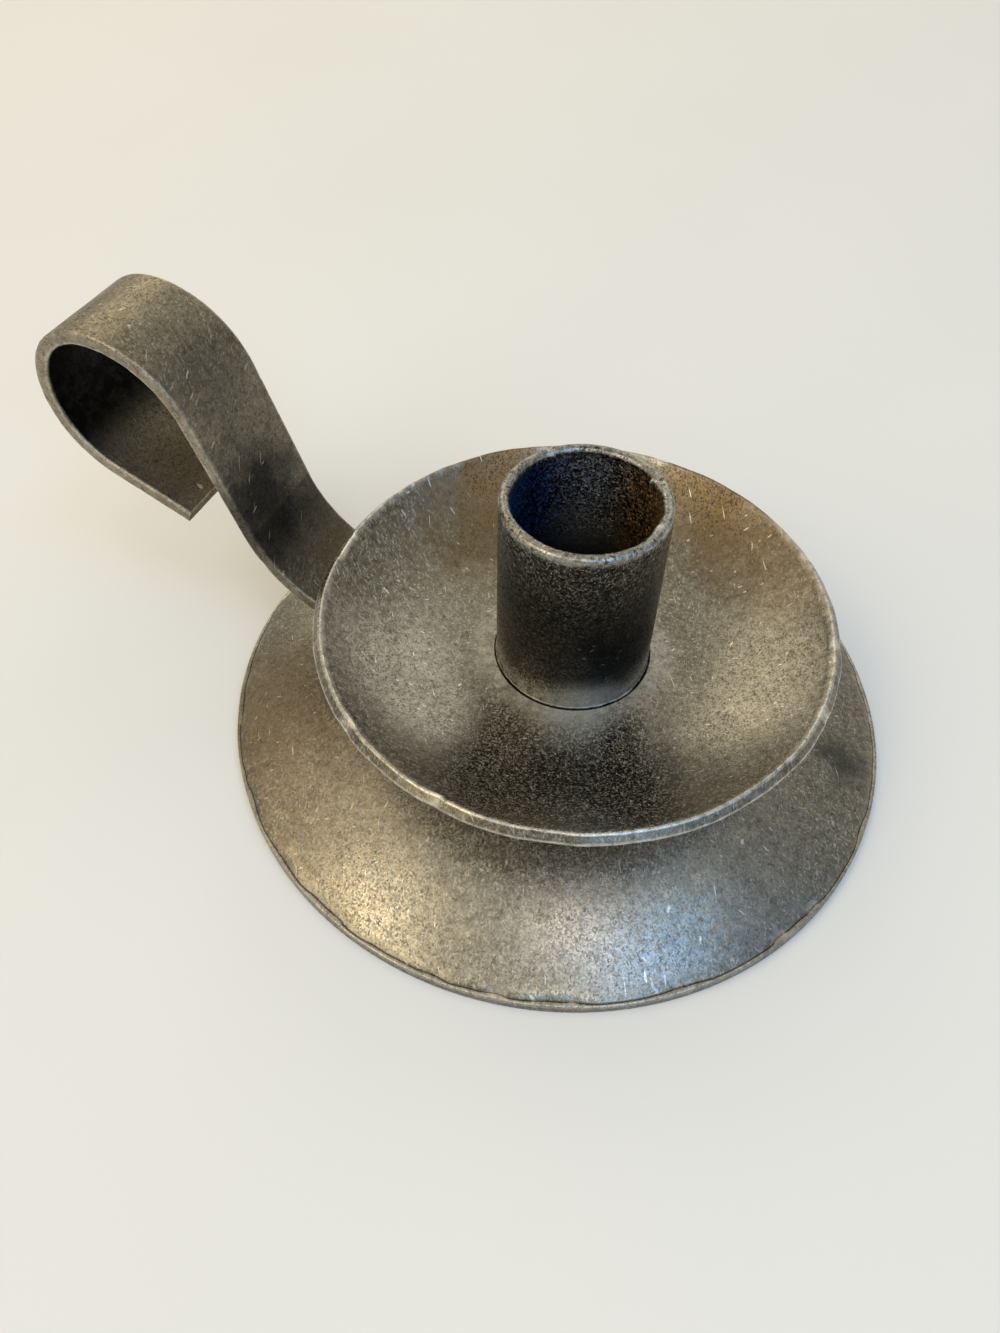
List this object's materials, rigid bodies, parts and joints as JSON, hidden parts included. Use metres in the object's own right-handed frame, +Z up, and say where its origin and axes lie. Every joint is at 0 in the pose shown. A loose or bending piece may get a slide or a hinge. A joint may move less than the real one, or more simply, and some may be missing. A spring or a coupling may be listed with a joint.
{
  "type": "chamberstick",
  "caption": "Low steel candle holder: domed base, dished drip pan, short tube socket, and a flat strap handle curled into an open finger loop.",
  "frame": {"origin": "on the candle socket's axis, in the plane that the base stands on", "axes": "+Z up along the candle socket, -X out along the handle, XZ the mirror plane"},
  "size_m": [0.1454, 0.1136, 0.059],
  "materials": {
    "dish_steel": "satin",
    "pan_steel": "satin",
    "tube_steel": "satin",
    "strap_steel": "satin",
    "rivet_steel": "satin",
    "braze": "satin"
  },
  "bodies": {
    "root": {"base_dish": "dish_steel", "drip_pan": "pan_steel", "candle_socket": "tube_steel", "handle_strap": "strap_steel", "centre_rivet": "rivet_steel", "weld_beads": "rivet_steel", "braze_ring": "braze"}
  },
  "joints": []
}
